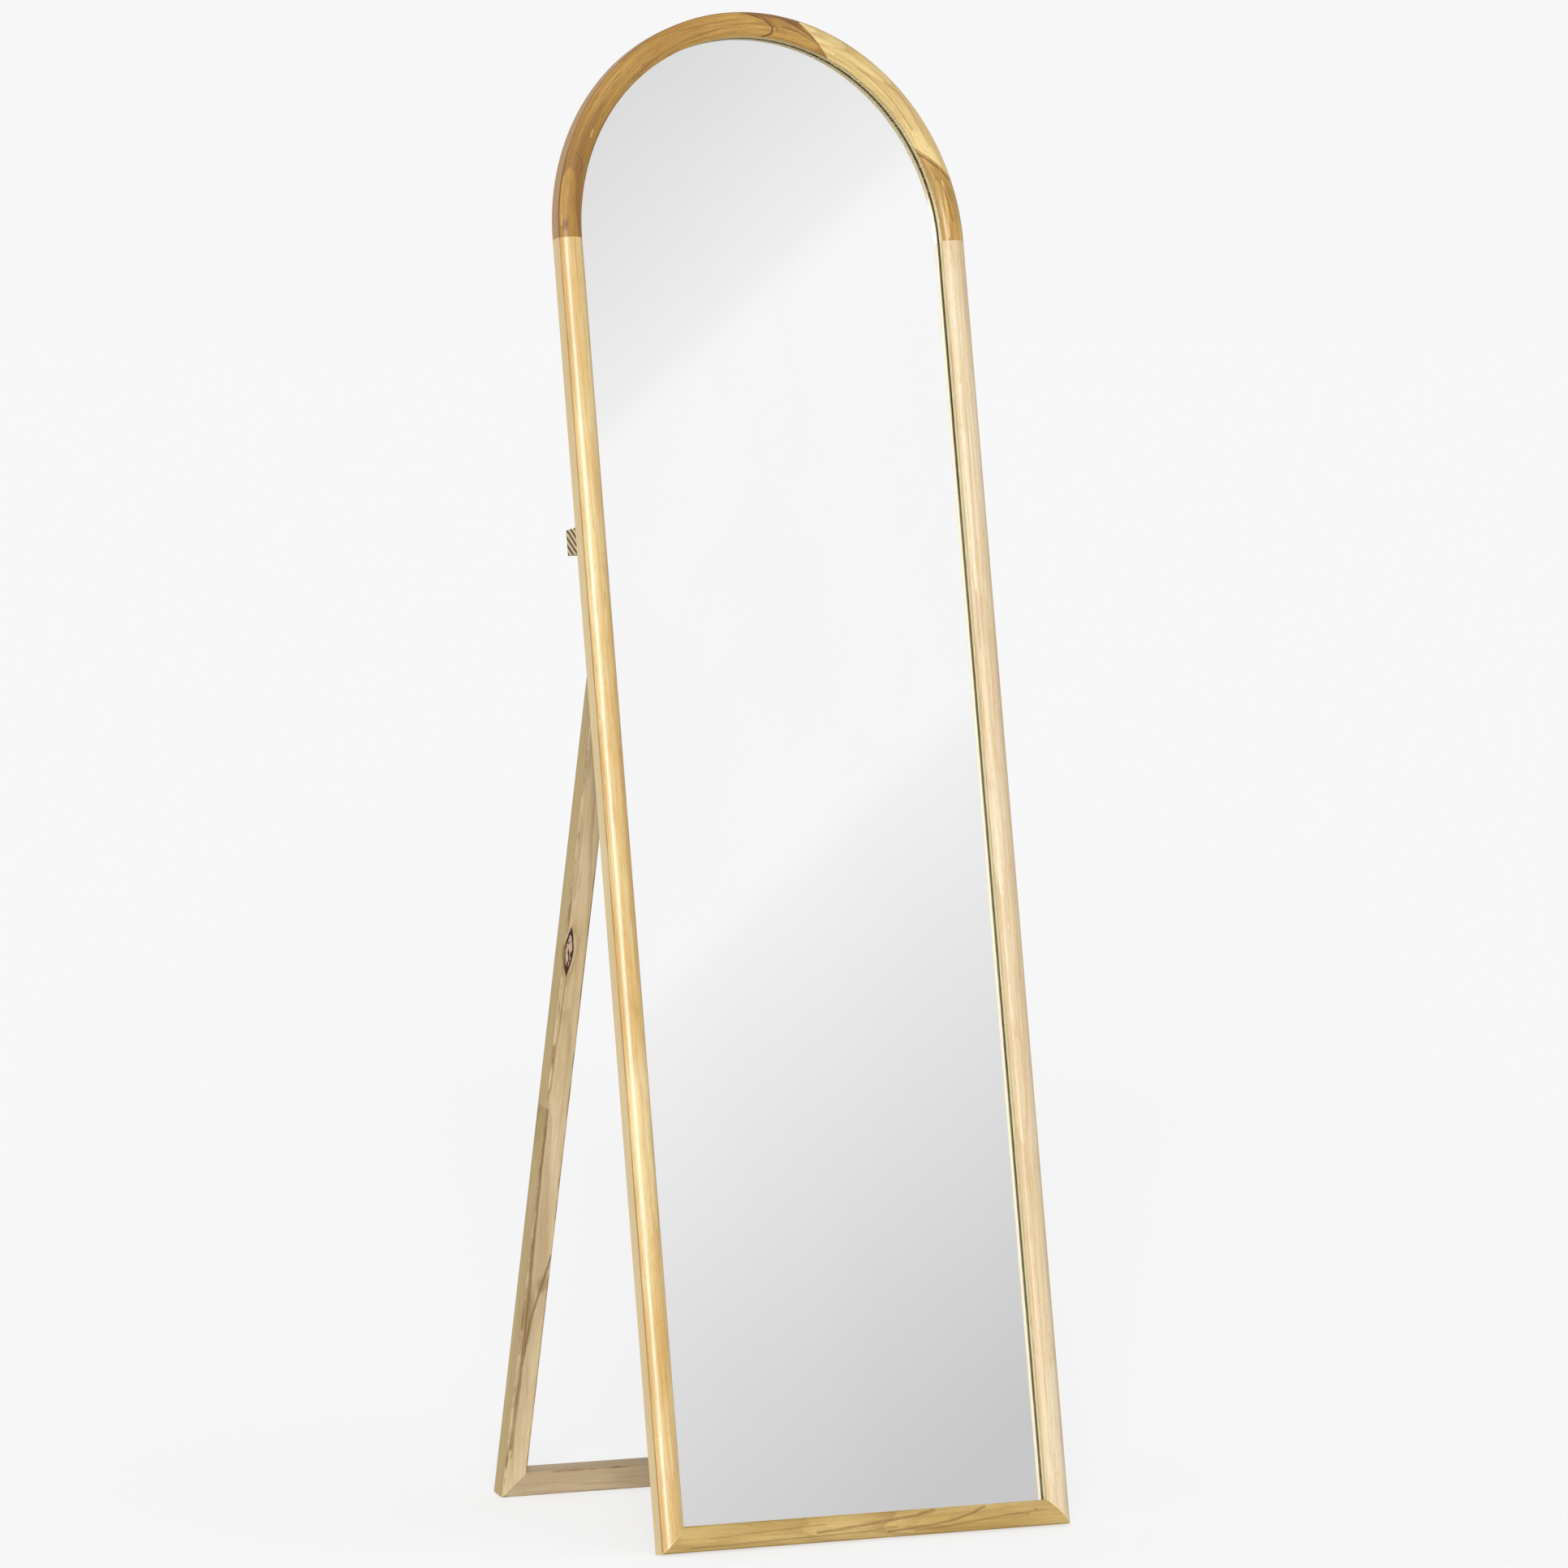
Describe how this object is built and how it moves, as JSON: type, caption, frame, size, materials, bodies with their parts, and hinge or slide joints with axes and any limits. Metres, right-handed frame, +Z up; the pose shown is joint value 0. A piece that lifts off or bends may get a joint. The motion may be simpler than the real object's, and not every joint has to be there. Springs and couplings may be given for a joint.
{
  "type": "floor mirror",
  "caption": "Full-length arched floor mirror in a slim domed wood moulding, leaning back on a hinged U-shaped easel stand that folds flat behind it.",
  "frame": {"origin": "on the floor, at the middle of the footprint of the open mirror", "axes": "+Z up, -Y out of the glass towards the viewer, +X to that viewer's right"},
  "size_m": [0.46, 0.4314, 1.4975],
  "materials": {
    "stile_wood": "clear satin lacquer on pale straight-grained hardwood",
    "rail_wood": "clear satin lacquer on tan hardwood",
    "arch_wood": "clear satin lacquer on darker tan hardwood",
    "arch_light_wood": "clear satin lacquer on yellow-tan hardwood",
    "stand_wood": "clear satin lacquer on grey-brown hardwood with a knot",
    "dowel_wood": "plain beech",
    "mirror_glass": "polished float glass, silvered behind",
    "backing_film": "grey safety film over the silvering",
    "board": "hardboard, smooth face out",
    "hinge_brass": "drawn brass",
    "brass_screws": "bright brass",
    "steel": "zinc-plated steel"
  },
  "bodies": {
    "frame": {"left_stile": "stile_wood", "right_stile": "stile_wood", "bottom_rail": "rail_wood", "arch_left_segment": "arch_wood", "arch_upper_right_segment": "arch_light_wood", "arch_right_segment": "arch_wood", "spring_joint_dowels": "dowel_wood", "corner_v_nails": "steel", "board_points": "steel", "mirror_glass": "mirror_glass", "silvered_backing_film": "backing_film", "backing_board": "board", "cross_rail": "stand_wood", "cross_rail_screws": "steel", "left_hinge_fixed_leaf": "hinge_brass", "right_hinge_fixed_leaf": "hinge_brass", "left_hinge_pin": "steel", "right_hinge_pin": "steel", "fixed_leaf_screws": "brass_screws"},
    "stand": {"stand_left_leg": "stand_wood", "stand_right_leg": "stand_wood", "stand_foot_rail": "stand_wood", "stand_corner_dowels": "dowel_wood", "left_hinge_moving_leaf": "hinge_brass", "right_hinge_moving_leaf": "hinge_brass", "moving_leaf_screws": "brass_screws"}
  },
  "joints": [
    {"name": "stand_fold", "type": "hinge", "parent": "frame", "child": "stand", "pos_m": [0, -0.01891, 0.96214], "axis": [1, 0, 0], "range_deg": [-23.15, 0]}
  ]
}
